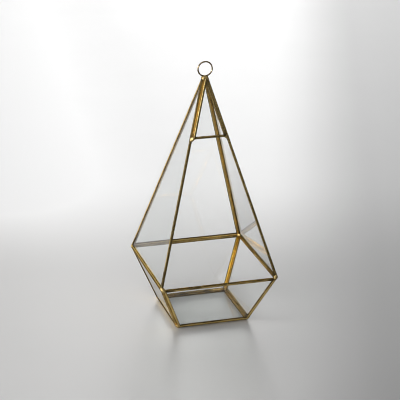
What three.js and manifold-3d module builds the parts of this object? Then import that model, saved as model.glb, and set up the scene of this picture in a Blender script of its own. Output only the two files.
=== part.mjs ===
// A geometric glass terrarium: a tall square pyramid standing on a short upturned one.
// Every pane is a sheet of clear glass whose edges are gripped by folded brass channel.
// Neighbouring channels meet along their inner corners and are soldered at the joints.
// The front of the tall pyramid is open below a crossbar. A wire ring stands on the tip.
//
// Millimetres, +Z up, the front faces -Y. The origin is the middle of the base, on the surface.

import * as THREE from 'three';
import { mergeVertices } from 'three/addons/utils/BufferGeometryUtils.js';
import Module from 'manifold-3d';

// ---- driving dimensions ----------------------------------------------------------------------

const GIRDLE_HALF = 75;        // half the width at the girdle, where the two pyramids meet
const BASE_HALF = 47;          // half the width of the base
const GIRDLE_HEIGHT = 65.8;    // height of the girdle above the surface
const APEX_HEIGHT = 320;       // height at which the planes of the upper panes would meet
const CROSSBAR_SHARE = 0.675;  // how far up the front edges the crossbar sits

const CHANNEL_THICK = 3.0;     // the channel's size across the pane
const FLANGE = 3.0;            // how far the channel covers the pane
const SHEET = 0.4;             // thickness of the folded brass
const WEB = 0.5;               // thickness of the channel at its fold
const GLASS_THICK = 1.6;
const GAP = 0.3;               // clearance between pieces that touch in the real object

const STRIP_TOP = 303;         // the strips of the upper panes are cut level here
const CAP_HEIGHT = 5.8;        // solder cap over the cut strips
const CAP_SQUARENESS = 4;      // 2 would make the cap round, and more makes it squarer

const RING_RADIUS = 8.9;       // to the middle of the wire
const RING_WIRE = 0.9;         // radius of the wire
const RING_SEAT = 1.5;         // how deep the ring's wire sits in the solder cap

const GIRDLE_BEAD = new THREE.Vector3(2.8, 2.8, 4.2);    // half sizes of the solder beads
const BASE_BEAD = new THREE.Vector3(2.6, 2.6, 2.6);
const CROSSBAR_BEAD = new THREE.Vector3(2.1, 2.1, 2.8);
const GIRDLE_BEAD_INSET = 2.9;      // from the ideal corner to the bead's centre, along X and Y
const BASE_BEAD_INSET = 1.9;
const CROSSBAR_BEAD_INSET = 1.7;

// ---- materials -------------------------------------------------------------------------------

const brassFinish = { color: 0x8f7340, roughness: 0.38, metalness: 1.0 };
const solderFinish = { color: 0xb79a5c, roughness: 0.45, metalness: 1.0 };
const glassFinish = {
  color: 0xe4ece8,
  roughness: 0.04,
  metalness: 0.0,
  transparent: true,
  opacity: 0.3,
};

// ---- corners and panes -----------------------------------------------------------------------

const corner = (x, y, z) => new THREE.Vector3(x, y, z);

const corners = {
  apex: corner(0, 0, APEX_HEIGHT),
  girdleFrontLeft: corner(-GIRDLE_HALF, -GIRDLE_HALF, GIRDLE_HEIGHT),
  girdleFrontRight: corner(GIRDLE_HALF, -GIRDLE_HALF, GIRDLE_HEIGHT),
  girdleBackRight: corner(GIRDLE_HALF, GIRDLE_HALF, GIRDLE_HEIGHT),
  girdleBackLeft: corner(-GIRDLE_HALF, GIRDLE_HALF, GIRDLE_HEIGHT),
  baseFrontLeft: corner(-BASE_HALF, -BASE_HALF, 0),
  baseFrontRight: corner(BASE_HALF, -BASE_HALF, 0),
  baseBackRight: corner(BASE_HALF, BASE_HALF, 0),
  baseBackLeft: corner(-BASE_HALF, BASE_HALF, 0),
};
corners.crossbarLeft = corners.girdleFrontLeft.clone().lerp(corners.apex, CROSSBAR_SHARE);
corners.crossbarRight = corners.girdleFrontRight.clone().lerp(corners.apex, CROSSBAR_SHARE);

// Each edge gives the corner it starts from, the pane on its other side, and its strip's name.
// The corners run anticlockwise seen from outside. The front panes share the open front's plane.
const panes = {
  upper_left: [
    ['girdleBackLeft', 'lower_left', 'girdle'],
    ['girdleFrontLeft', 'upper_front', 'front_edge'],
    ['apex', 'upper_back', 'back_edge'],
  ],
  upper_right: [
    ['girdleFrontRight', 'lower_right', 'girdle'],
    ['girdleBackRight', 'upper_back', 'back_edge'],
    ['apex', 'upper_front', 'front_edge'],
  ],
  upper_back: [
    ['girdleBackRight', 'lower_back', 'girdle'],
    ['girdleBackLeft', 'upper_left', 'left_edge'],
    ['apex', 'upper_right', 'right_edge'],
  ],
  upper_front: [
    ['crossbarLeft', null, 'crossbar'],
    ['crossbarRight', 'upper_right', 'right_edge'],
    ['apex', 'upper_left', 'left_edge'],
  ],
  lower_front: [
    ['baseFrontLeft', 'base', 'foot'],
    ['baseFrontRight', 'lower_right', 'right_edge'],
    ['girdleFrontRight', 'upper_front', 'girdle'],
    ['girdleFrontLeft', 'lower_left', 'left_edge'],
  ],
  lower_right: [
    ['baseFrontRight', 'base', 'foot'],
    ['baseBackRight', 'lower_back', 'back_edge'],
    ['girdleBackRight', 'upper_right', 'girdle'],
    ['girdleFrontRight', 'lower_front', 'front_edge'],
  ],
  lower_back: [
    ['baseBackRight', 'base', 'foot'],
    ['baseBackLeft', 'lower_left', 'left_edge'],
    ['girdleBackLeft', 'upper_back', 'girdle'],
    ['girdleBackRight', 'lower_right', 'right_edge'],
  ],
  lower_left: [
    ['baseBackLeft', 'base', 'foot'],
    ['baseFrontLeft', 'lower_front', 'front_edge'],
    ['girdleFrontLeft', 'upper_left', 'girdle'],
    ['girdleBackLeft', 'lower_back', 'back_edge'],
  ],
  base: [
    ['baseBackLeft', 'lower_back', 'back'],
    ['baseBackRight', 'lower_right', 'right'],
    ['baseFrontRight', 'lower_front', 'front'],
    ['baseFrontLeft', 'lower_left', 'left'],
  ],
};

// ---- solids ----------------------------------------------------------------------------------

const wasm = await Module();
wasm.setup();

function toSolid(geometry) {
  const bare = geometry.clone();
  bare.deleteAttribute('normal');
  bare.deleteAttribute('uv');
  const merged = mergeVertices(bare, 1e-4);
  return new wasm.Manifold(new wasm.Mesh({
    numProp: 3,
    vertProperties: new Float32Array(merged.attributes.position.array),
    triVerts: new Uint32Array(merged.index.array),
  }));
}

function toGeometry(solid) {
  const mesh = solid.getMesh();
  const geometry = new THREE.BufferGeometry();
  geometry.setAttribute('position', new THREE.BufferAttribute(mesh.vertProperties, 3));
  geometry.setIndex(new THREE.BufferAttribute(mesh.triVerts, 1));
  return geometry;
}

// A flat plate with the given outline, from one depth below the pane's outer face to another.
function plate(outline, nearDepth, farDepth) {
  const options = { depth: farDepth - nearDepth, bevelEnabled: false };
  const geometry = new THREE.ExtrudeGeometry(new THREE.Shape(outline), options);
  return geometry.translate(0, 0, -farDepth);
}

// ---- the planes of the panes -----------------------------------------------------------------

// The pane's own frame: Z is its outward normal, and the origin is its first corner.
function paneFrame(edges) {
  const points = edges.map(([start]) => corners[start]);
  const along = points[1].clone().sub(points[0]).normalize();
  const across = points[2].clone().sub(points[0]);
  const normal = along.clone().cross(across).normalize();
  const up = normal.clone().cross(along);
  const matrix = new THREE.Matrix4().makeBasis(along, up, normal).setPosition(points[0]);
  const inverse = matrix.clone().invert();
  const outline = points.map((point) => {
    const local = point.clone().applyMatrix4(inverse);
    return new THREE.Vector2(local.x, local.y);
  });
  return { matrix, inverse, outline, normal };
}

const frames = {};
for (const [name, edges] of Object.entries(panes)) frames[name] = paneFrame(edges);

// How far a channel stands back from the ideal edge, so that its inner corner just clears the
// channel on the other side of that edge.
function setback(name, neighbour) {
  if (neighbour === null) return 0;
  const turn = frames[name].normal.angleTo(frames[neighbour].normal);
  const halfAngle = (Math.PI - turn) / 2;
  return CHANNEL_THICK / Math.tan(halfAngle) + GAP / 2 / Math.sin(halfAngle);
}

// Moves each side of a convex outline inwards by its own distance.
function inset(outline, distances) {
  const sides = outline.map((start, index) => {
    const end = outline[(index + 1) % outline.length];
    const direction = end.clone().sub(start).normalize();
    const inwards = new THREE.Vector2(-direction.y, direction.x);
    return { point: start.clone().addScaledVector(inwards, distances[index]), direction };
  });
  return sides.map((side, index) => {
    const before = sides[(index + sides.length - 1) % sides.length];
    const apart = side.point.clone().sub(before.point);
    const cross = before.direction.cross(side.direction);
    return before.point.clone().addScaledVector(before.direction, apart.cross(side.direction) / cross);
  });
}

// ---- pieces ----------------------------------------------------------------------------------

// One channel strip: a mitred bar with a slot along its inner side that the glass sits in.
function channelStrip(outer, inner, index) {
  const next = (index + 1) % outer.length;
  const mitred = [outer[index], outer[next], inner[next], inner[index]];
  const bar = plate(inset(mitred, [0, GAP / 2, 0, GAP / 2]), 0, CHANNEL_THICK);

  const direction = outer[next].clone().sub(outer[index]).normalize();
  const inwards = new THREE.Vector2(-direction.y, direction.x);
  const overrun = 4 * FLANGE;
  const place = (end, sign, depth) => end.clone()
    .addScaledVector(direction, sign * overrun)
    .addScaledVector(inwards, depth);
  const slot = plate([
    place(outer[index], -1, WEB),
    place(outer[next], 1, WEB),
    place(outer[next], 1, 2 * FLANGE),
    place(outer[index], -1, 2 * FLANGE),
  ], SHEET, CHANNEL_THICK - SHEET);
  return toSolid(bar).subtract(toSolid(slot));
}

function glassPane(outer) {
  const outline = inset(outer, outer.map(() => WEB + GAP));
  const depth = (CHANNEL_THICK - GLASS_THICK) / 2;
  return toSolid(plate(outline, depth, depth + GLASS_THICK));
}

// The beads of solder at the corners, each an egg shape standing on its end.
function beadGeometry(centre, halfSizes, clearance) {
  const sphere = new THREE.SphereGeometry(1, 16, 10).rotateX(Math.PI / 2);
  sphere.scale(halfSizes.x + clearance, halfSizes.y + clearance, halfSizes.z + clearance);
  return sphere.translate(centre.x, centre.y, centre.z);
}

function bead(cornerName, insetBy, halfSizes, lift) {
  const centre = corners[cornerName].clone();
  centre.x -= Math.sign(centre.x) * insetBy;
  centre.y -= Math.sign(centre.y) * insetBy;
  centre.z += lift;
  return { centre, halfSizes };
}

const beads = {};
for (const place of ['FrontLeft', 'FrontRight', 'BackRight', 'BackLeft']) {
  const label = place.replace(/([a-z])([A-Z])/, '$1_$2').toLowerCase();
  const liftToFloor = BASE_BEAD.z + GAP;
  beads[`solder_girdle_${label}`] = bead(`girdle${place}`, GIRDLE_BEAD_INSET, GIRDLE_BEAD, 0);
  beads[`solder_base_${label}`] = bead(`base${place}`, BASE_BEAD_INSET, BASE_BEAD, liftToFloor);
}
beads.solder_crossbar_left = bead('crossbarLeft', CROSSBAR_BEAD_INSET, CROSSBAR_BEAD, 0);
beads.solder_crossbar_right = bead('crossbarRight', CROSSBAR_BEAD_INSET, CROSSBAR_BEAD, 0);

// The half width of the ideal upper pyramid at a height.
const pyramidHalf = (z) => (GIRDLE_HALF * (APEX_HEIGHT - z)) / (APEX_HEIGHT - GIRDLE_HEIGHT);

// The solder cap over the cut strips carries the pyramid on to a rounded tip, grooved by the ring.
function capSolid(ring) {
  const foot = STRIP_TOP + GAP;
  const shoulder = foot + 0.6 * CAP_HEIGHT;
  const top = foot + CAP_HEIGHT;
  const profile = new THREE.Path();
  profile.moveTo(0, foot);
  profile.lineTo(pyramidHalf(foot), foot);
  profile.lineTo(pyramidHalf(shoulder), shoulder);
  profile.quadraticCurveTo(pyramidHalf(top), top, 0, top);
  const points = profile.getPoints(5);
  points.push(points[0].clone());
  const cap = new THREE.LatheGeometry(points, 24).rotateX(Math.PI / 2);
  const position = cap.attributes.position;
  for (let i = 0; i < position.count; i += 1) {
    const angle = Math.atan2(position.getY(i), position.getX(i));
    const sum = Math.abs(Math.cos(angle)) ** CAP_SQUARENESS + Math.abs(Math.sin(angle)) ** CAP_SQUARENESS;
    const squared = sum ** (-1 / CAP_SQUARENESS);
    position.setXY(i, position.getX(i) * squared, position.getY(i) * squared);
  }
  return toSolid(cap).subtract(ring);
}

const capTop = STRIP_TOP + GAP + CAP_HEIGHT;
const ringCentre = capTop - RING_SEAT + RING_WIRE + RING_RADIUS;

function ringGeometry(clearance) {
  const torus = new THREE.TorusGeometry(RING_RADIUS, RING_WIRE + clearance, 10, 48);
  return torus.rotateX(Math.PI / 2).translate(0, 0, ringCentre);
}

// Everything above the level cut at the tip.
function tipCutter() {
  const size = 60;
  return new THREE.BoxGeometry(size, size, size).translate(0, 0, STRIP_TOP + size / 2);
}

// ---- assembly --------------------------------------------------------------------------------

const terrarium = new THREE.Group();

function addMesh(parent, name, geometry, finish) {
  const mesh = new THREE.Mesh(geometry, new THREE.MeshStandardMaterial(finish));
  mesh.name = name;
  parent.add(mesh);
}

for (const [name, edges] of Object.entries(panes)) {
  const { matrix, inverse, outline } = frames[name];
  const group = new THREE.Group();
  matrix.decompose(group.position, group.quaternion, group.scale);
  terrarium.add(group);

  // What the pane's pieces leave room for, in the pane's own frame.
  const cutters = [toSolid(tipCutter().applyMatrix4(inverse))];
  for (const { centre, halfSizes } of Object.values(beads)) {
    cutters.push(toSolid(beadGeometry(centre, halfSizes, GAP).applyMatrix4(inverse)));
  }
  const trim = (solid) => toGeometry(cutters.reduce((rest, cutter) => rest.subtract(cutter), solid));

  const setbacks = edges.map(([, neighbour]) => setback(name, neighbour));
  const outer = inset(outline, setbacks);
  const inner = inset(outer, outer.map(() => FLANGE));
  addMesh(group, `glass_${name}`, trim(glassPane(outer)), glassFinish);
  edges.forEach(([, , label], index) => {
    addMesh(group, `channel_${name}_${label}`, trim(channelStrip(outer, inner, index)), brassFinish);
  });
}

for (const [name, { centre, halfSizes }] of Object.entries(beads)) {
  addMesh(terrarium, name, beadGeometry(centre, halfSizes, 0), solderFinish);
}

addMesh(terrarium, 'solder_cap', toGeometry(capSolid(toSolid(ringGeometry(GAP)))), solderFinish);
addMesh(terrarium, 'hanging_ring', ringGeometry(0), brassFinish);

export default terrarium;
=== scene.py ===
import math

import bmesh
import bpy
from mathutils import Matrix, Vector, noise


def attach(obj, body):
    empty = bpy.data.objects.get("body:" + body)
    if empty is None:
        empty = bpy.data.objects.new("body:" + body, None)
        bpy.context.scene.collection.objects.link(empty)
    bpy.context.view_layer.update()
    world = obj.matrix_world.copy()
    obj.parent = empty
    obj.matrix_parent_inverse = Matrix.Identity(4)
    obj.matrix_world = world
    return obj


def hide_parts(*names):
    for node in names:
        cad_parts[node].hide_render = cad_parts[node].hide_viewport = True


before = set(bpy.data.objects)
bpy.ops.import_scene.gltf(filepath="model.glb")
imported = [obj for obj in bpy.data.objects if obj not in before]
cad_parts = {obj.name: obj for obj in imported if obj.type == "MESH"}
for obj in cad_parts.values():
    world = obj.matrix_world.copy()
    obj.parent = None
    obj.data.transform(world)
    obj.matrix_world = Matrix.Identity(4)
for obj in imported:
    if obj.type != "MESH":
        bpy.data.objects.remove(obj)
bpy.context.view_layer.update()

# The looks of a geometric glass terrarium. Metres, +Z up, and the front faces -Y, as in the frame.
# The panes stay the frame's own solids. Each brass channel, each solder joint, the cap and the ring
# is a detailed piece that stands where its solid stands.

# ---- the part's driving dimensions ------------------------------------------------------------

GIRDLE_HALF = 0.075
BASE_HALF = 0.047
GIRDLE_HEIGHT = 0.0658
APEX_HEIGHT = 0.320       # where the ideal upper pyramid comes to a point
CROSSBAR_SHARE = 0.675    # the crossbar's place on the way from the girdle to the apex

CHANNEL_THICK = 0.0030    # the channel's size across the pane
FLANGE = 0.0030           # how far the channel covers the pane
SHEET = 0.0004            # thickness of its two flanges
WEB = 0.0005              # and at the fold
GAP = 0.0003              # clearance between neighbouring solids

STRIP_TOP = 0.303         # where the solid strips stop
CAP_HEIGHT = 0.0058
CAP_SQUARENESS = 4        # 2 would make the cap round

RING_RADIUS = 0.0089      # to the middle of the wire
RING_WIRE = 0.0009        # radius of the wire
RING_SEAT = 0.0015        # how deep the wire lies in the cap

# ---- the finish of the channel ----------------------------------------------------------------

FOLD_RADIUS = 0.00025     # outside radius of the two folds
CROWN = 0.00014           # how far a flange bulges at its middle
EDGE_CROWN = 0.3          # the same for the strip's narrow edge, as a share of a flange's
LIP_BEND = 0.00022        # how far a lip turns in to touch the glass
LIP_WIDTH = 0.0007
LEAN = 0.00018            # how much closer than square corners two folded ones touch
SEAM = 0.00008            # a strip stops this far short of its mitre, which leaves a hairline
STRIP_END = 0.3060        # the strips reach this far up, inside the cap's solder

ROW_LENGTH = 0.005        # length of the strips' mesh cells
LEAST_ROWS = 4            # the fewest of them along a strip
FACE_STEPS = 10           # mesh cells across a flange
FOLD_STEPS = 6            # round a fold
EDGE_STEPS = 4            # and across the narrow edge

WAVE = 0.00005            # how far a hand-fitted strip strays from straight
WAVES_PER_METRE = 22
END_EASE = 8              # the waves die out over the last eighth of a strip
OUT_TRACK = 0.3           # where in the noise a strip finds its waves outwards
SIDE_TRACK = 7.9          # its waves sideways
CLOUD_TRACK = 3.1         # and its clouds of patina

# ---- patina and painted shade: 0 is polished, about 0.7 is brown, and above 1 is black -------

MOST_DIRT_AND_SHADE = 1.3           # at the lips of the flanges: patina, and painted contact shade where they meet the glass
FOLD_DARKENING = 0.55     # how much darker the folds of most strips are
SHADED_FOLD_DARKENING = 1.0      # and the folds of the strips painted darker, for painted shade
FACE_SHADE = 0.6      # painted shade: the least on the flanges of the strips painted darkest
HALF_FACE_SHADE = 0.25    # and on those painted less dark
EDGE_DIRT = 0.4           # on the narrow edge and inside the slot
TIP_DIRT = 0.6            # on the cut tips of the flanges
END_DIRT = 0.35           # how much more there is at a strip's ends
CLOUD_DIRT = 0.25         # and in clouds along it
SOLDER_DIRT = 0.3         # on solder
SOLDER_DIRT_SWING = 0.45  # and how much less its lumps have than its hollows
RING_DIRT = 0.25          # on the ring
RING_DIRT_SWING = 0.5     # and how much that varies
RING_CLEAN_DEPTH = 0.6    # the ring is darker below this share of its radius under its middle
BLOTCH_DIRT = 0.45        # how much large blotches add to all of these
FINE_DIRT = 0.5           # and how much specks and grain vary them
BROWNING = (0.10, 0.75)   # polished metal turns brown between these
BLACKENING = (0.62, 1.20)     # and brown turns black between these

# The strips painted darkest: their darker, duller brass is painted shade.
SHADED_STRIPS = (
    "upper_left_front_edge",
    "upper_right_front_edge",
    "upper_front_crossbar",
    "upper_front_right_edge",
    "upper_right_girdle",
    "lower_front_girdle",
    "lower_right_girdle",
    "lower_back_girdle",
    "lower_back_foot",
    "lower_right_foot",
    "base_back",
    "base_right",
)
# These two take a deeper gold, a painted reflection of brass in brass, and are painted less dark, as
# are the three after them.
GOLD_REFLECTION_STRIPS = ("lower_back_right_edge", "lower_right_back_edge")
HALF_SHADED_STRIPS = GOLD_REFLECTION_STRIPS + (
    "upper_front_left_edge",
    "upper_left_back_edge",
    "upper_back_left_edge",
)

# ---- solder, cap and ring ---------------------------------------------------------------------

SOLDER_CELL = 0.00026     # cell size of the fused solder mesh
SOLDER_RUN = 0.0027       # how far solder runs along a strip from its corner
PASSING_RUN = 0.8         # the same along a strip that passes a corner, as a share of that
SOLDER_SWELL = 0.00028    # how far it stands proud of the strips
SOLDER_LUMPS = 0.00018    # how much that varies
LUMPS_PER_METRE = 260
SOLDER_LEVEL = 0.0002     # no solder comes lower than this over the base

CAP_SWELL = 0.0001        # how far the cap stands proud of its own profile
CAP_OVERLAP = 0.0008      # how far it comes down over the ends of the strips
CAP_STRAIGHT = 0.6        # share of its height up to which it follows the pyramid
CAP_SIDES = 48
CAP_ROWS = 8              # in its straight part, and again in its rounded part
FILLET = (0.0022, 0.0015, 0.0011)    # half sizes of the solder that grips the ring
FILLET_DROP = 0.0002      # how far its middle lies under the middle of the wire
CAP_SEED = 31

RING_STEPS = 120
WIRE_SIDES = 18
RING_WAVER = 0.00012      # how far the ring strays from round
WIRE_LUMPS = 0.05         # how much the wire's thickness varies

# ---- stage ------------------------------------------------------------------------------------

FLOOR_HALF = 9.0
FLOOR_DROP = 0.0002       # the paper lies this far under the part, so that they don't cut
FRONT_TONE = 0.431        # the paper's tone in front of the part, where painted shade keeps it grey
BACK_TONE = 0.744         # and far behind it, where painted light makes it pale
MOST_TONE = 0.96

# ---- camera -----------------------------------------------------------------------------------

CAMERA_AZIMUTH = math.radians(-16.99)
CAMERA_ELEVATION = math.radians(20.81)
CAMERA_ROLL = math.radians(0.65)
CAMERA_DISTANCE = 1.9185
CAMERA_AIM_RIGHT = -0.00432
CAMERA_AIM_HEIGHT = 0.14852
CAMERA_LENS = 139.03
CAMERA_SENSOR = 36

backward = Vector((
    math.sin(CAMERA_AZIMUTH) * math.cos(CAMERA_ELEVATION),
    -math.cos(CAMERA_AZIMUTH) * math.cos(CAMERA_ELEVATION),
    math.sin(CAMERA_ELEVATION),
))
level_right = Vector((math.cos(CAMERA_AZIMUTH), math.sin(CAMERA_AZIMUTH), 0))
level_away = Vector((-math.sin(CAMERA_AZIMUTH), math.cos(CAMERA_AZIMUTH), 0))


def make_camera():
    """The camera that took the photograph, as fitted to the edges of the brass bars."""
    level_up = backward.cross(level_right)
    right = math.cos(CAMERA_ROLL) * level_right + math.sin(CAMERA_ROLL) * level_up
    up = math.cos(CAMERA_ROLL) * level_up - math.sin(CAMERA_ROLL) * level_right
    aim = level_right * CAMERA_AIM_RIGHT + Vector((0, 0, CAMERA_AIM_HEIGHT))
    data = bpy.data.cameras.new("camera")
    data.sensor_width = CAMERA_SENSOR
    data.lens = CAMERA_LENS
    data.clip_start = 0.1
    data.clip_end = 50
    camera = bpy.data.objects.new("camera", data)
    matrix = Matrix((right, up, backward)).transposed().to_4x4()
    matrix.translation = aim + backward * CAMERA_DISTANCE
    camera.matrix_world = matrix
    bpy.context.scene.collection.objects.link(camera)
    bpy.context.scene.camera = camera


# ---- node helpers -----------------------------------------------------------------------------


class Nodes:
    """Adds and links shader nodes in one tree."""

    def __init__(self, tree):
        self.tree = tree

    def add(self, kind, settings=None, inputs=None):
        """A node whose inputs are each linked to a socket or set to a plain value."""
        node = self.tree.nodes.new(kind)
        for key, value in (settings or {}).items():
            setattr(node, key, value)
        for key, value in (inputs or {}).items():
            if isinstance(value, bpy.types.NodeSocket):
                self.tree.links.new(value, node.inputs[key])
            else:
                node.inputs[key].default_value = value
        return node

    def math(self, operation, first, second=0.0, third=0.0):
        inputs = {0: first, 1: second, 2: third}
        return self.add("ShaderNodeMath", {"operation": operation}, inputs).outputs[0]

    def swing(self, value, amount, base):
        """The base, moved up and down as the value swings about one half."""
        return self.math("MULTIPLY_ADD", self.math("SUBTRACT", value, 0.5), amount, base)

    def along(self, vector, axis):
        """How far a point lies along a direction."""
        inputs = {0: vector, 1: axis}
        node = self.add("ShaderNodeVectorMath", {"operation": "DOT_PRODUCT"}, inputs)
        return node.outputs["Value"]

    def mix_colour(self, share, first, second):
        """A colour mix: the node has its colour sockets at inputs 6 and 7 and at output 2."""
        inputs = {0: share, 6: first, 7: second}
        return self.add("ShaderNodeMix", {"data_type": "RGBA"}, inputs).outputs[2]

    def noise(self, vector, scale, detail, roughness):
        inputs = {"Vector": vector, "Scale": scale, "Detail": detail, "Roughness": roughness}
        return self.add("ShaderNodeTexNoise", {}, inputs).outputs["Fac"]

    def remap(self, value, low, high, to_low=0.0, to_high=1.0, smooth=False):
        settings = {"interpolation_type": "SMOOTHSTEP" if smooth else "LINEAR"}
        inputs = {0: value, 1: low, 2: high, 3: to_low, 4: to_high}
        return self.add("ShaderNodeMapRange", settings, inputs).outputs[0]

    def stretched(self, vector, scale):
        inputs = {"Vector": vector, "Scale": scale}
        return self.add("ShaderNodeMapping", {}, inputs).outputs[0]

    def bump(self, height, strength, distance):
        inputs = {"Strength": strength, "Distance": distance, "Height": height}
        return self.add("ShaderNodeBump", {}, inputs).outputs[0]


def new_material(name):
    material = bpy.data.materials.new(name)
    material.use_nodes = True
    material.node_tree.nodes.clear()
    return material, Nodes(material.node_tree)


# ---- materials --------------------------------------------------------------------------------


def brass_material(name, polished, aged, oxide, roughness, grain):
    """Antique brass: from polished through aged to oxide as its attribute of patina and painted
    shade rises.
    """
    material, nodes = new_material(name)
    place = nodes.add("ShaderNodeTexCoord").outputs["Object"]
    patina = nodes.add("ShaderNodeAttribute", {"attribute_name": "patina"}).outputs["Fac"]
    blotches = nodes.noise(place, scale=70, detail=3, roughness=0.55)
    specks = nodes.noise(place, scale=900, detail=2, roughness=0.6)

    if grain:
        strokes = nodes.add("ShaderNodeUVMap", {"uv_map": "grain"}).outputs[0]
        fine = nodes.stretched(strokes, (60, 5000, 1))
        fine = nodes.noise(fine, scale=1, detail=2, roughness=0.6)
        broad = nodes.stretched(strokes, (25, 1400, 1))
        broad = nodes.noise(broad, scale=1, detail=2, roughness=0.5)
        halves = (nodes.math("MULTIPLY", fine, 0.5), nodes.math("MULTIPLY", broad, 0.5))
        texture = nodes.math("ADD", *halves)
    else:
        texture = nodes.noise(place, scale=420, detail=3, roughness=0.6)

    dirt_and_shade = nodes.math("MULTIPLY_ADD", nodes.remap(blotches, 0.3, 0.7), BLOTCH_DIRT, patina)
    dirt_and_shade = nodes.swing(specks, FINE_DIRT, dirt_and_shade)
    dirt_and_shade = nodes.swing(texture, FINE_DIRT, dirt_and_shade)
    browned = nodes.remap(dirt_and_shade, *BROWNING, smooth=True)
    blackened = nodes.remap(dirt_and_shade, *BLACKENING, smooth=True)
    colour = nodes.mix_colour(browned, polished, aged)
    colour = nodes.mix_colour(blackened, colour, oxide)

    smoothest, roughest = roughness
    rough = nodes.remap(dirt_and_shade, 0.0, MOST_DIRT_AND_SHADE, smoothest, roughest)
    rough = nodes.swing(texture, 0.16, rough)
    relief = nodes.math("MULTIPLY_ADD", specks, 0.35, texture)
    inputs = {
        "Base Color": colour,
        "Roughness": rough,
        "Metallic": 1.0,
        "Specular Tint": (0.55, 0.45, 0.32, 1),
        "Normal": nodes.bump(relief, strength=0.35, distance=0.00006),
    }
    shader = nodes.add("ShaderNodeBsdfPrincipled", {}, inputs)
    nodes.add("ShaderNodeOutputMaterial", {}, {"Surface": shader.outputs[0]})
    return material


DARKER_LEFT = (-0.06, 0.03)    # the glass goes from a darker tint to clear between these places on X
DARKER_BASE = (0.003, 0.008)   # and between these heights
CLEAN_TINT = (0.994, 0.998, 0.995, 1)
DARKER_TINT = (0.953, 0.962, 0.957, 1)
SHADOW_TINT = (0.965, 0.97, 0.965, 1)


def glass_material():
    """Clear float glass: faint smears, the least ripple, and a darker tint on the left side and at
    the base.
    """
    material, nodes = new_material("clear_glass")
    place = nodes.add("ShaderNodeTexCoord").outputs["Object"]
    smears = nodes.stretched(place, (1.0, 1.0, 0.35))
    smears = nodes.noise(smears, scale=45, detail=4, roughness=0.6)
    ripple = nodes.noise(place, scale=14, detail=1, roughness=0.4)
    left = nodes.remap(nodes.along(place, (1, 0, 0)), *DARKER_LEFT, 1.0, 0.0, smooth=True)
    low = nodes.remap(nodes.along(place, (0, 0, 1)), *DARKER_BASE, 1.0, 0.0)
    darkening = nodes.swing(smears, 0.6, nodes.math("MAXIMUM", left, low))
    darkening = nodes.remap(darkening, 0.0, 1.0)
    inputs = {
        "Base Color": nodes.mix_colour(darkening, CLEAN_TINT, DARKER_TINT),
        "Roughness": nodes.remap(smears, 0.2, 0.8, 0.01, 0.03),
        "IOR": 1.5,
        "Transmission Weight": 1.0,
        "Normal": nodes.bump(ripple, strength=0.05, distance=0.0004),
    }
    glass = nodes.add("ShaderNodeBsdfPrincipled", {}, inputs)
    shade = nodes.add("ShaderNodeBsdfTransparent", {}, {"Color": SHADOW_TINT})
    shadow = nodes.add("ShaderNodeLightPath").outputs["Is Shadow Ray"]
    inputs = {0: shadow, 1: glass.outputs[0], 2: shade.outputs[0]}
    mixed = nodes.add("ShaderNodeMixShader", {}, inputs)
    nodes.add("ShaderNodeOutputMaterial", {}, {"Surface": mixed.outputs[0]})
    return material


channel_brass = brass_material(
    "channel_brass",
    polished=(0.95, 0.705, 0.27, 1),
    aged=(0.68, 0.49, 0.19, 1),
    oxide=(0.10, 0.075, 0.037, 1),
    roughness=(0.16, 0.35),
    grain=True,
)
# a deeper gold: a painted reflection of brass in brass, for two strips
painted_reflection_brass = brass_material(
    "painted_reflection_brass",
    polished=(0.97, 0.64, 0.13, 1),
    aged=(0.70, 0.45, 0.09, 1),
    oxide=(0.10, 0.07, 0.03, 1),
    roughness=(0.16, 0.35),
    grain=True,
)
ring_brass = brass_material(
    "ring_brass",
    polished=(0.46, 0.36, 0.21, 1),
    aged=(0.25, 0.19, 0.11, 1),
    oxide=(0.05, 0.04, 0.027, 1),
    roughness=(0.20, 0.40),
    grain=False,
)
solder_gold = brass_material(
    "solder",
    polished=(0.62, 0.47, 0.20, 1),
    aged=(0.46, 0.345, 0.145, 1),
    oxide=(0.10, 0.075, 0.035, 1),
    roughness=(0.48, 0.60),
    grain=False,
)
clear_glass = glass_material()

# ---- corners and panes, as in the part --------------------------------------------------------

corners = {"apex": Vector((0, 0, APEX_HEIGHT))}
for side, right in (("left", -1), ("right", 1)):
    for end, back in (("front", -1), ("back", 1)):
        girdle = Vector((right * GIRDLE_HALF, back * GIRDLE_HALF, GIRDLE_HEIGHT))
        corners[f"girdle_{end}_{side}"] = girdle
        corners[f"base_{end}_{side}"] = Vector((right * BASE_HALF, back * BASE_HALF, 0))
    front = corners[f"girdle_front_{side}"]
    corners[f"crossbar_{side}"] = front.lerp(corners["apex"], CROSSBAR_SHARE)

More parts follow.
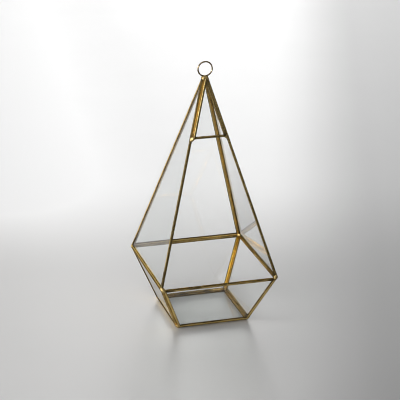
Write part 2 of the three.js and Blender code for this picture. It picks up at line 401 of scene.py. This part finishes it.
# Each edge of a pane: the corner it starts from, the pane on its other side, its strip's name.
panes = {
    "upper_left": [
        ("girdle_back_left", "lower_left", "girdle"),
        ("girdle_front_left", "upper_front", "front_edge"),
        ("apex", "upper_back", "back_edge"),
    ],
    "upper_right": [
        ("girdle_front_right", "lower_right", "girdle"),
        ("girdle_back_right", "upper_back", "back_edge"),
        ("apex", "upper_front", "front_edge"),
    ],
    "upper_back": [
        ("girdle_back_right", "lower_back", "girdle"),
        ("girdle_back_left", "upper_left", "left_edge"),
        ("apex", "upper_right", "right_edge"),
    ],
    "upper_front": [
        ("crossbar_left", None, "crossbar"),
        ("crossbar_right", "upper_right", "right_edge"),
        ("apex", "upper_left", "left_edge"),
    ],
    "lower_front": [
        ("base_front_left", "base", "foot"),
        ("base_front_right", "lower_right", "right_edge"),
        ("girdle_front_right", "upper_front", "girdle"),
        ("girdle_front_left", "lower_left", "left_edge"),
    ],
    "lower_right": [
        ("base_front_right", "base", "foot"),
        ("base_back_right", "lower_back", "back_edge"),
        ("girdle_back_right", "upper_right", "girdle"),
        ("girdle_front_right", "lower_front", "front_edge"),
    ],
    "lower_back": [
        ("base_back_right", "base", "foot"),
        ("base_back_left", "lower_left", "left_edge"),
        ("girdle_back_left", "upper_back", "girdle"),
        ("girdle_back_right", "lower_right", "right_edge"),
    ],
    "lower_left": [
        ("base_back_left", "base", "foot"),
        ("base_front_left", "lower_front", "front_edge"),
        ("girdle_front_left", "upper_left", "girdle"),
        ("girdle_back_left", "lower_back", "back_edge"),
    ],
    "base": [
        ("base_back_left", "lower_back", "back"),
        ("base_back_right", "lower_right", "right"),
        ("base_front_right", "lower_front", "front"),
        ("base_front_left", "lower_left", "left"),
    ],
}


def pane_normal(name):
    """The outward normal of a pane."""
    first, second, third = (corners[start] for start, _, _ in panes[name][:3])
    return (second - first).cross(third - first).normalized()


def setback(name, neighbour):
    """How far a channel stands back from the ideal edge, so that it touches its neighbour."""
    if neighbour is None:
        return 0.0
    half_angle = (math.pi - pane_normal(name).angle(pane_normal(neighbour))) / 2
    return CHANNEL_THICK / math.tan(half_angle) - LEAN


def inset(outline, normal, distances):
    """Moves each side of a convex outline in space inwards by its own distance."""
    count = len(outline)
    sides = []
    for index, start in enumerate(outline):
        direction = (outline[(index + 1) % count] - start).normalized()
        inwards = normal.cross(direction)
        sides.append((start + inwards * distances[index], direction))
    moved = []
    for index, (point, direction) in enumerate(sides):
        before, before_direction = sides[index - 1]
        across = normal.dot(before_direction.cross(direction))
        travel = normal.dot((point - before).cross(direction)) / across
        moved.append(before + before_direction * travel)
    return moved


def strip_outline(pane):
    """The outer outline of a pane's strips."""
    outline = [corners[start] for start, _, _ in panes[pane]]
    setbacks = [setback(pane, neighbour) for _, neighbour, _ in panes[pane]]
    return inset(outline, pane_normal(pane), setbacks)


# ---- pieces -----------------------------------------------------------------------------------

SHARP_ANGLE = math.radians(48)    # edges that turn more than this stay sharp


def finish_mesh(mesh, name, patina, material, node):
    """Makes the mesh a piece that stands for one of the frame's nodes and rides on the body."""
    attribute = mesh.attributes.new("patina", "FLOAT", "POINT")
    attribute.data.foreach_set("value", patina)
    mesh.materials.append(material)
    mesh.shade_smooth()
    mesh.set_sharp_from_angle(angle=SHARP_ANGLE)
    piece = bpy.data.objects.new(name, mesh)
    bpy.context.scene.collection.objects.link(piece)
    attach(piece, "root")
    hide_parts(node)


def to_mesh(built, name):
    """Turns a finished bmesh into a mesh of that name."""
    mesh = bpy.data.meshes.new(name)
    built.to_mesh(mesh)
    built.free()
    return mesh


def wander(point, pitch, offset):
    """Smooth noise from about -1 to 1. A higher pitch gives shorter swings."""
    return noise.noise(point * pitch + Vector(offset))


# ---- channel strips ---------------------------------------------------------------------------


def channel_profile(fold_darkening, face_shade):
    """The folded channel's section: (distance in from its edge, depth, patina and painted shade)
    round its outline.
    """
    half_flat = (FLANGE - FOLD_RADIUS) / 2
    middle = FOLD_RADIUS + half_flat
    face = []
    for step in range(FACE_STEPS + 1):
        reach = FLANGE - step * (FLANGE - FOLD_RADIUS) / FACE_STEPS
        out = (reach - middle) / half_flat
        bend = max(0.0, (reach - FLANGE + LIP_WIDTH) / LIP_WIDTH)
        depth = CROWN * (out * out - 0.5) + LIP_BEND * bend * bend
        # the lips darken with patina and with painted contact shade where they meet the glass; the
        # folds darken too
        dirt_and_shade = MOST_DIRT_AND_SHADE * out ** 3 if out > 0 else -FOLD_DARKENING * out ** 3
        face.append((reach, depth, max(face_shade, dirt_and_shade)))
    fold = []
    for step in range(1, FOLD_STEPS):
        turn = step * math.pi / 2 / FOLD_STEPS
        reach = FOLD_RADIUS * (1 - math.sin(turn))
        depth = CROWN / 2 + FOLD_RADIUS * (1 - math.cos(turn))
        fold.append((reach, depth, fold_darkening))
    edge = []
    edge_flat = CHANNEL_THICK - 2 * FOLD_RADIUS - CROWN
    for step in range(EDGE_STEPS + 1):
        across = step / EDGE_STEPS
        reach = -EDGE_CROWN * CROWN * (1 - (2 * across - 1) ** 2)
        depth = FOLD_RADIUS + CROWN / 2 + across * edge_flat
        edge.append((reach, depth, EDGE_DIRT))
    near = face + fold
    far = [(reach, CHANNEL_THICK - depth, dirt_and_shade) for reach, depth, dirt_and_shade in reversed(near)]
    tip = face[0][1] + SHEET
    slot = [
        (FLANGE, CHANNEL_THICK - tip, TIP_DIRT),
        (FLANGE - LIP_WIDTH, CHANNEL_THICK - SHEET, EDGE_DIRT),
        (WEB, CHANNEL_THICK - SHEET, EDGE_DIRT),
        (WEB, SHEET, EDGE_DIRT),
        (FLANGE - LIP_WIDTH, SHEET, EDGE_DIRT),
        (FLANGE, tip, TIP_DIRT),
    ]
    return near + edge + far + slot


def strip_profile(name):
    """The section of one strip, with the patina and painted shade that strip has."""
    # darker, duller brass on these strips is painted shade
    if name in SHADED_STRIPS:
        return channel_profile(SHADED_FOLD_DARKENING, FACE_SHADE)
    if name in HALF_SHADED_STRIPS:
        return channel_profile(SHADED_FOLD_DARKENING, HALF_FACE_SHADE)
    return channel_profile(FOLD_DARKENING, 0.0)


def cut_below_tip(point, far):
    """Slides a strip's end down its own line to the height at which the strips stop."""
    if point.z <= STRIP_END:
        return point
    return point.lerp(far, (point.z - STRIP_END) / (point.z - far.z))


def mitred_ends(profile, outer, inner, index, after, normal):
    """Where each point of the section lies at the strip's two ends."""
    seam = (outer[after] - outer[index]).normalized() * SEAM
    starts = []
    ends = []
    for reach, depth, _ in profile:
        share = reach / FLANGE
        start = outer[index].lerp(inner[index], share)
        end = outer[after].lerp(inner[after], share)
        down = normal * depth
        starts.append(cut_below_tip(start + seam - down, end - down))
        ends.append(cut_below_tip(end - seam - down, start - down))
    return starts, ends


def skin_strip(mesh, grid, profile, length, seed):
    """Closes the grid of points into a tube, with its grain running along the strip."""
    around = [0.0]
    for before, here in zip(profile, profile[1:]):
        around.append(around[-1] + math.hypot(here[0] - before[0], here[1] - before[1]))
    uv = mesh.loops.layers.uv.new("grain")
    rows = len(grid) - 1
    for row in range(rows):
        for step in range(len(profile)):
            following = (step + 1) % len(profile)
            quad = (
                grid[row][step],
                grid[row][following],
                grid[row + 1][following],
                grid[row + 1][step],
            )
            face = mesh.faces.new(quad)
            edge_end = around[following] if following else around[-1] + SHEET
            across = (around[step], edge_end, edge_end, around[step])
            loop_rows = (row, row, row + 1, row + 1)
            for loop, distance, loop_row in zip(face.loops, across, loop_rows):
                loop[uv].uv = (loop_row * length / rows + seed, distance)
    mesh.faces.new(grid[0])
    mesh.faces.new(list(reversed(grid[-1])))
    bmesh.ops.recalc_face_normals(mesh, faces=mesh.faces)


def channel_strip(name, normal, outer, inner, index, seed):
    """One folded strip along one edge of a pane, mitred at both ends."""
    profile = strip_profile(name)
    after = (index + 1) % len(outer)
    starts, ends = mitred_ends(profile, outer, inner, index, after, normal)
    length = (outer[after] - outer[index]).length
    inwards = normal.cross((outer[after] - outer[index]).normalized())
    rows = max(LEAST_ROWS, round(length / ROW_LENGTH))

    mesh = bmesh.new()
    patina = []
    grid = []
    for row in range(rows + 1):
        share = row / rows
        ease = min(1.0, END_EASE * share, END_EASE * (1 - share))
        travel = share * length * WAVES_PER_METRE
        out = noise.noise(Vector((travel, seed, OUT_TRACK))) * WAVE * ease
        side = noise.noise(Vector((travel, seed, SIDE_TRACK))) * WAVE * ease
        clouds = noise.noise(Vector((travel * 2, seed, CLOUD_TRACK)))
        soiled = END_DIRT * (1 - ease) + CLOUD_DIRT * clouds
        ring = []
        for start, end, (_, _, dirt_and_shade) in zip(starts, ends, profile):
            point = start.lerp(end, share) + normal * out + inwards * side
            ring.append(mesh.verts.new(point))
            patina.append(max(0.0, min(MOST_DIRT_AND_SHADE, dirt_and_shade + soiled)))
        grid.append(ring)
    skin_strip(mesh, grid, profile, length, seed)
    data = to_mesh(mesh, f"brass_{name}")
    # two strips take a deeper gold: a painted reflection of the brass beside them
    brass = painted_reflection_brass if name in GOLD_REFLECTION_STRIPS else channel_brass
    finish_mesh(data, f"brass_{name}", patina, brass, f"channel_{name}")


def make_channels():
    seed = 0
    for pane, edges in panes.items():
        normal = pane_normal(pane)
        outer = strip_outline(pane)
        inner = inset(outer, normal, [FLANGE] * len(edges))
        for index, (_, _, label) in enumerate(edges):
            seed += 1
            channel_strip(f"{pane}_{label}", normal, outer, inner, index, seed)


# ---- solder -----------------------------------------------------------------------------------


def corner_points(corner):
    """Where solder reaches at a corner: on every strip that ends there, at both of its faces."""
    points = []
    for pane, edges in panes.items():
        starts = [start for start, _, _ in edges]
        if corner not in starts:
            continue
        depth = pane_normal(pane) * CHANNEL_THICK
        outline = strip_outline(pane)
        index = starts.index(corner)
        here = outline[index]
        for beside in (outline[index - 1], outline[(index + 1) % len(outline)]):
            run = here + (beside - here).normalized() * SOLDER_RUN
            points += [run, run - depth]
        points += [here, here - depth]
    return points


def passing_points(corner, pane, edge):
    """The same on a strip that passes the corner without ending there."""
    depth = pane_normal(pane) * CHANNEL_THICK
    outline = strip_outline(pane)
    start = outline[edge]
    direction = (outline[(edge + 1) % len(outline)] - start).normalized()
    here = start + direction * (corners[corner] - start).dot(direction)
    points = []
    for share in (-PASSING_RUN, PASSING_RUN):
        run = here + direction * SOLDER_RUN * share
        points += [run, run - depth]
    return points


def fuse(mesh, name, seed, swell):
    """Melts a rough body into one skin with the lumps of real solder. Returns it and its patina."""
    shell = bpy.data.objects.new(f"{name}_shell", to_mesh(mesh, name))
    bpy.context.scene.collection.objects.link(shell)
    remesh = shell.modifiers.new("fuse", "REMESH")
    remesh.mode = "VOXEL"
    remesh.voxel_size = SOLDER_CELL
    smooth = shell.modifiers.new("melt", "SMOOTH")
    smooth.factor = 0.5
    smooth.iterations = 10
    graph = bpy.context.evaluated_depsgraph_get()
    fused = bpy.data.meshes.new_from_object(shell.evaluated_get(graph))
    bpy.data.objects.remove(shell)
    fused.name = name
    patina = []
    for vertex in fused.vertices:
        lump = wander(vertex.co, pitch=LUMPS_PER_METRE, offset=(seed, 0, 0))
        vertex.co += vertex.normal * (swell + SOLDER_LUMPS * lump)
        vertex.co.z = max(vertex.co.z, SOLDER_LEVEL)
        patina.append(max(0.0, min(1.0, SOLDER_DIRT - SOLDER_DIRT_SWING * lump)))
    return fused, patina


def solder_joint(name, points, seed):
    """Solder fused round the hull of the points that it reaches."""
    mesh = bmesh.new()
    for point in points:
        mesh.verts.new(point)
    hull = bmesh.ops.convex_hull(mesh, input=mesh.verts)
    inside = set(hull["geom_interior"] + hull["geom_unused"])
    spare = [item for item in inside if isinstance(item, bmesh.types.BMVert)]
    bmesh.ops.delete(mesh, geom=spare)
    data, patina = fuse(mesh, f"fused_{name}", seed, SOLDER_SWELL)
    finish_mesh(data, f"fused_{name}", patina, solder_gold, f"solder_{name}")


def make_solder():
    for index, place in enumerate(("front_left", "front_right", "back_right", "back_left")):
        for level, first_seed in (("girdle", 61), ("base", 41)):
            name = f"{level}_{place}"
            solder_joint(name, corner_points(name), first_seed + index)
    for side, edge, seed in (("left", 1, 22), ("right", 2, 23)):
        name = f"crossbar_{side}"
        passing = passing_points(name, f"upper_{side}", edge)
        solder_joint(name, corner_points(name) + passing, seed)


# ---- cap and ring -----------------------------------------------------------------------------

cap_top = STRIP_TOP + GAP + CAP_HEIGHT
ring_centre = cap_top - RING_SEAT + RING_WIRE + RING_RADIUS


def pyramid_half(height):
    """Half width of the ideal upper pyramid at a height."""
    return GIRDLE_HALF * (APEX_HEIGHT - height) / (APEX_HEIGHT - GIRDLE_HEIGHT)


def cap_profile():
    """The cap's (half width, height), from its foot up the pyramid and round over the shoulder."""
    foot = STRIP_END - CAP_OVERLAP
    shoulder = STRIP_TOP + GAP + CAP_STRAIGHT * CAP_HEIGHT
    heights = [foot + (shoulder - foot) * step / CAP_ROWS for step in range(CAP_ROWS + 1)]
    profile = [(pyramid_half(height), height) for height in heights]
    wide = pyramid_half(shoulder)
    narrow = pyramid_half(cap_top)
    for step in range(1, CAP_ROWS):
        share = step / CAP_ROWS
        reach = (1 - share) ** 2 * wide + 2 * (1 - share) * share * narrow
        height = (1 - share) ** 2 * shoulder + (1 - (1 - share) ** 2) * cap_top
        profile.append((reach, height))
    return profile


def make_cap():
    """The solder over the tip: it carries the pyramid on, rounds off, and grips the ring."""
    mesh = bmesh.new()
    rings = []
    for reach, height in cap_profile():
        ring = []
        for step in range(CAP_SIDES):
            angle = 2 * math.pi * step / CAP_SIDES
            across = math.cos(angle)
            along = math.sin(angle)
            total = abs(across) ** CAP_SQUARENESS + abs(along) ** CAP_SQUARENESS
            radius = reach * total ** (-1 / CAP_SQUARENESS)
            ring.append(mesh.verts.new((radius * across, radius * along, height)))
        rings.append(ring)
    for lower, upper in zip(rings, rings[1:]):
        for step in range(CAP_SIDES):
            following = (step + 1) % CAP_SIDES
            quad = (lower[step], lower[following], upper[following], upper[step])
            mesh.faces.new(quad)
    mesh.faces.new(list(reversed(rings[0])))
    mesh.faces.new(rings[-1])
    seat = Matrix.Translation((0, 0, ring_centre - RING_RADIUS - FILLET_DROP))
    shape = Matrix.Diagonal((*FILLET, 1))
    bmesh.ops.create_icosphere(mesh, subdivisions=3, radius=1.0, matrix=seat @ shape)
    data, patina = fuse(mesh, "fused_cap", CAP_SEED, CAP_SWELL)
    finish_mesh(data, "fused_cap", patina, solder_gold, "solder_cap")


def make_ring():
    """The wire ring: bent by hand, so a touch out of round, and darker towards its bottom, where it
    sits in the cap's solder.
    """
    mesh = bmesh.new()
    rings = []
    patina = []
    for step in range(RING_STEPS):
        angle = 2 * math.pi * step / RING_STEPS
        outwards = Vector((math.cos(angle), 0, math.sin(angle)))
        waver = wander(outwards, pitch=1.3, offset=(5, 0, 0))
        centre = Vector((0, 0, ring_centre)) + outwards * (RING_RADIUS + RING_WAVER * waver)
        low = max(0.0, -math.sin(angle) - RING_CLEAN_DEPTH)
        ring = []
        for side in range(WIRE_SIDES):
            turn = 2 * math.pi * side / WIRE_SIDES
            lump = 1 + WIRE_LUMPS * wander(outwards, pitch=9, offset=(0, turn, 0))
            spread = outwards * math.cos(turn) + Vector((0, 1, 0)) * math.sin(turn)
            ring.append(mesh.verts.new(centre + spread * RING_WIRE * lump))
            cloud = wander(outwards, pitch=4, offset=(0, 0.5 * math.sin(turn), 2))
            soiled = RING_DIRT + RING_DIRT_SWING * cloud
            patina.append(max(0.0, min(1.0, soiled + low)))
        rings.append(ring)
    for step in range(RING_STEPS):
        here, following = rings[step], rings[(step + 1) % RING_STEPS]
        for side in range(WIRE_SIDES):
            after = (side + 1) % WIRE_SIDES
            mesh.faces.new((here[side], here[after], following[after], following[side]))
    bmesh.ops.recalc_face_normals(mesh, faces=mesh.faces)
    data = to_mesh(mesh, "wire_ring")
    finish_mesh(data, "wire_ring", patina, ring_brass, "hanging_ring")


# ---- stage and light --------------------------------------------------------------------------


def band(nodes, main, aside, slope, reach, tones):
    """A factor that eases between two tones over a band of the floor, which may run aslant."""
    distance = nodes.math("MULTIPLY_ADD", aside, slope, main)
    return nodes.remap(distance, *reach, *tones, smooth=True)


def patch(nodes, place, middle, radius, change):
    """A factor that eases from one at the radius to the given change in the middle."""
    inputs = {0: place, 1: middle}
    distance = nodes.add("ShaderNodeVectorMath", {"operation": "DISTANCE"}, inputs)
    return nodes.remap(distance.outputs["Value"], 0.0, radius, change, 1.0, smooth=True)


def floor_material():
    """Pale paper with painted light and shade: greyer in front and to the right, where less light
    falls, lighter on the left, with a painted pool of light by the part's right foot, a painted
    shadow in front of the part and painted shade behind it to the right.
    """
    material, nodes = new_material("pale_paper")
    place = nodes.add("ShaderNodeTexCoord").outputs["Object"]
    away = nodes.along(place, level_away)
    right = nodes.along(place, level_right)
    left = nodes.math("MULTIPLY", right, -1.0)
    # painted light and shade: the paper is lighter far behind and on the left, greyer to the right
    behind = band(nodes, away, right, slope=-0.098, reach=(0.111, 0.494), tones=(0.0, 1.0))
    painted_shade_right = band(nodes, right, away, slope=-0.058, reach=(0.059, 0.243), tones=(1.0, 0.377))
    painted_light_left = band(nodes, left, away, slope=-0.177, reach=(-0.071, 0.205), tones=(1.0, 1.475))
    tone = nodes.remap(behind, 0.0, 1.0, FRONT_TONE, BACK_TONE)
    clouds = nodes.noise(place, scale=6, detail=2, roughness=0.5)
    factors = [
        painted_shade_right,
        painted_light_left,
        # a painted pool of light by the part's right foot, a painted shadow in front of the part and
        # painted shade behind it to the right
        patch(nodes, place, middle=(0.060, -0.010, 0), radius=0.085, change=1.25),
        patch(nodes, place, middle=(0.0, -0.110, 0), radius=0.14, change=0.82),
        patch(nodes, place, middle=(0.155, 0.095, 0), radius=0.12, change=0.88),
        nodes.remap(clouds, 0.3, 0.7, 0.99, 1.01),
    ]
    for factor in factors:
        tone = nodes.math("MULTIPLY", tone, factor)
    tone = nodes.math("MINIMUM", tone, MOST_TONE)
    cast = nodes.mix_colour(behind, (1.0, 0.993, 0.980, 1), (1, 1, 1, 1))
    inputs = {0: cast, "Scale": tone}
    colour = nodes.add("ShaderNodeVectorMath", {"operation": "SCALE"}, inputs)
    fibres = nodes.noise(place, scale=300, detail=3, roughness=0.6)
    inputs = {
        "Base Color": colour.outputs[0],
        "Roughness": 0.55,
        "Normal": nodes.bump(fibres, strength=0.1, distance=0.0002),
    }
    shader = nodes.add("ShaderNodeBsdfPrincipled", {}, inputs)
    nodes.add("ShaderNodeOutputMaterial", {}, {"Surface": shader.outputs[0]})
    return material


def make_floor():
    mesh = bmesh.new()
    bmesh.ops.create_grid(mesh, x_segments=8, y_segments=8, size=FLOOR_HALF)
    data = to_mesh(mesh, "floor")
    data.materials.append(floor_material())
    floor = bpy.data.objects.new("floor", data)
    floor.location.z = -FLOOR_DROP
    bpy.context.scene.collection.objects.link(floor)


def glow(nodes, azimuth, elevation, tightness, strength):
    """A soft light in the room: its azimuth runs from straight in front towards the right."""
    turn = math.radians(azimuth)
    rise = math.radians(elevation)
    level = math.cos(rise)
    axis = (math.sin(turn) * level, -math.cos(turn) * level, math.sin(rise))
    direction = nodes.add("ShaderNodeTexCoord").outputs["Generated"]
    falloff = nodes.math("MULTIPLY_ADD", nodes.along(direction, axis), tightness, -tightness)
    return nodes.math("MULTIPLY", nodes.math("EXPONENT", falloff), strength)


def make_light():
    """A low key light far behind to the right, soft windows on the left, little from the front."""
    world = bpy.data.worlds.new("studio")
    bpy.context.scene.world = world
    world.use_nodes = True
    world.node_tree.nodes.clear()
    world.cycles.sampling_method = "MANUAL"
    world.cycles.sample_map_resolution = 1024
    nodes = Nodes(world.node_tree)
    lights = [
        glow(nodes, azimuth=164, elevation=14, tightness=220, strength=18.5),
        glow(nodes, azimuth=164, elevation=8, tightness=220, strength=17.9),
        glow(nodes, azimuth=156, elevation=14, tightness=220, strength=13.1),
        glow(nodes, azimuth=148, elevation=14, tightness=220, strength=12.1),
        glow(nodes, azimuth=180, elevation=8, tightness=40, strength=0.896),
        glow(nodes, azimuth=300, elevation=62, tightness=40, strength=6.16),
        glow(nodes, azimuth=265, elevation=8, tightness=40, strength=22.2),
        glow(nodes, azimuth=300, elevation=8, tightness=40, strength=12.8),
        glow(nodes, azimuth=315, elevation=25, tightness=40, strength=0.672),
        glow(nodes, azimuth=357, elevation=24, tightness=220, strength=6.72),
        glow(nodes, azimuth=60, elevation=62, tightness=40, strength=0.56),
        glow(nodes, azimuth=30, elevation=25, tightness=40, strength=0.314),
    ]
    total = lights[0]
    for light in lights[1:]:
        total = nodes.math("ADD", total, light)
    shader = nodes.add("ShaderNodeBackground", {}, {"Color": (1, 1, 1, 1), "Strength": total})
    nodes.add("ShaderNodeOutputWorld", {}, {"Surface": shader.outputs[0]})


def set_render_quality():
    """Enough bounces to see through several panes, and no noise from light bent by glass."""
    scene = bpy.context.scene
    scene.view_settings.view_transform = "Standard"
    scene.cycles.use_denoising = True
    scene.cycles.filter_width = 1.0
    scene.cycles.max_bounces = 20
    scene.cycles.transmission_bounces = 20
    scene.cycles.transparent_max_bounces = 24
    scene.cycles.caustics_refractive = False
    scene.cycles.sample_clamp_indirect = 6


def dress_panes():
    """The panes keep the frame's own shape and take the glass."""
    for name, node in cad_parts.items():
        if name.startswith("glass_"):
            node.data.materials.clear()
            node.data.materials.append(clear_glass)


# ---- assembly ---------------------------------------------------------------------------------

make_camera()
make_floor()
make_light()
set_render_quality()

dress_panes()
make_channels()
make_solder()
make_cap()
make_ring()
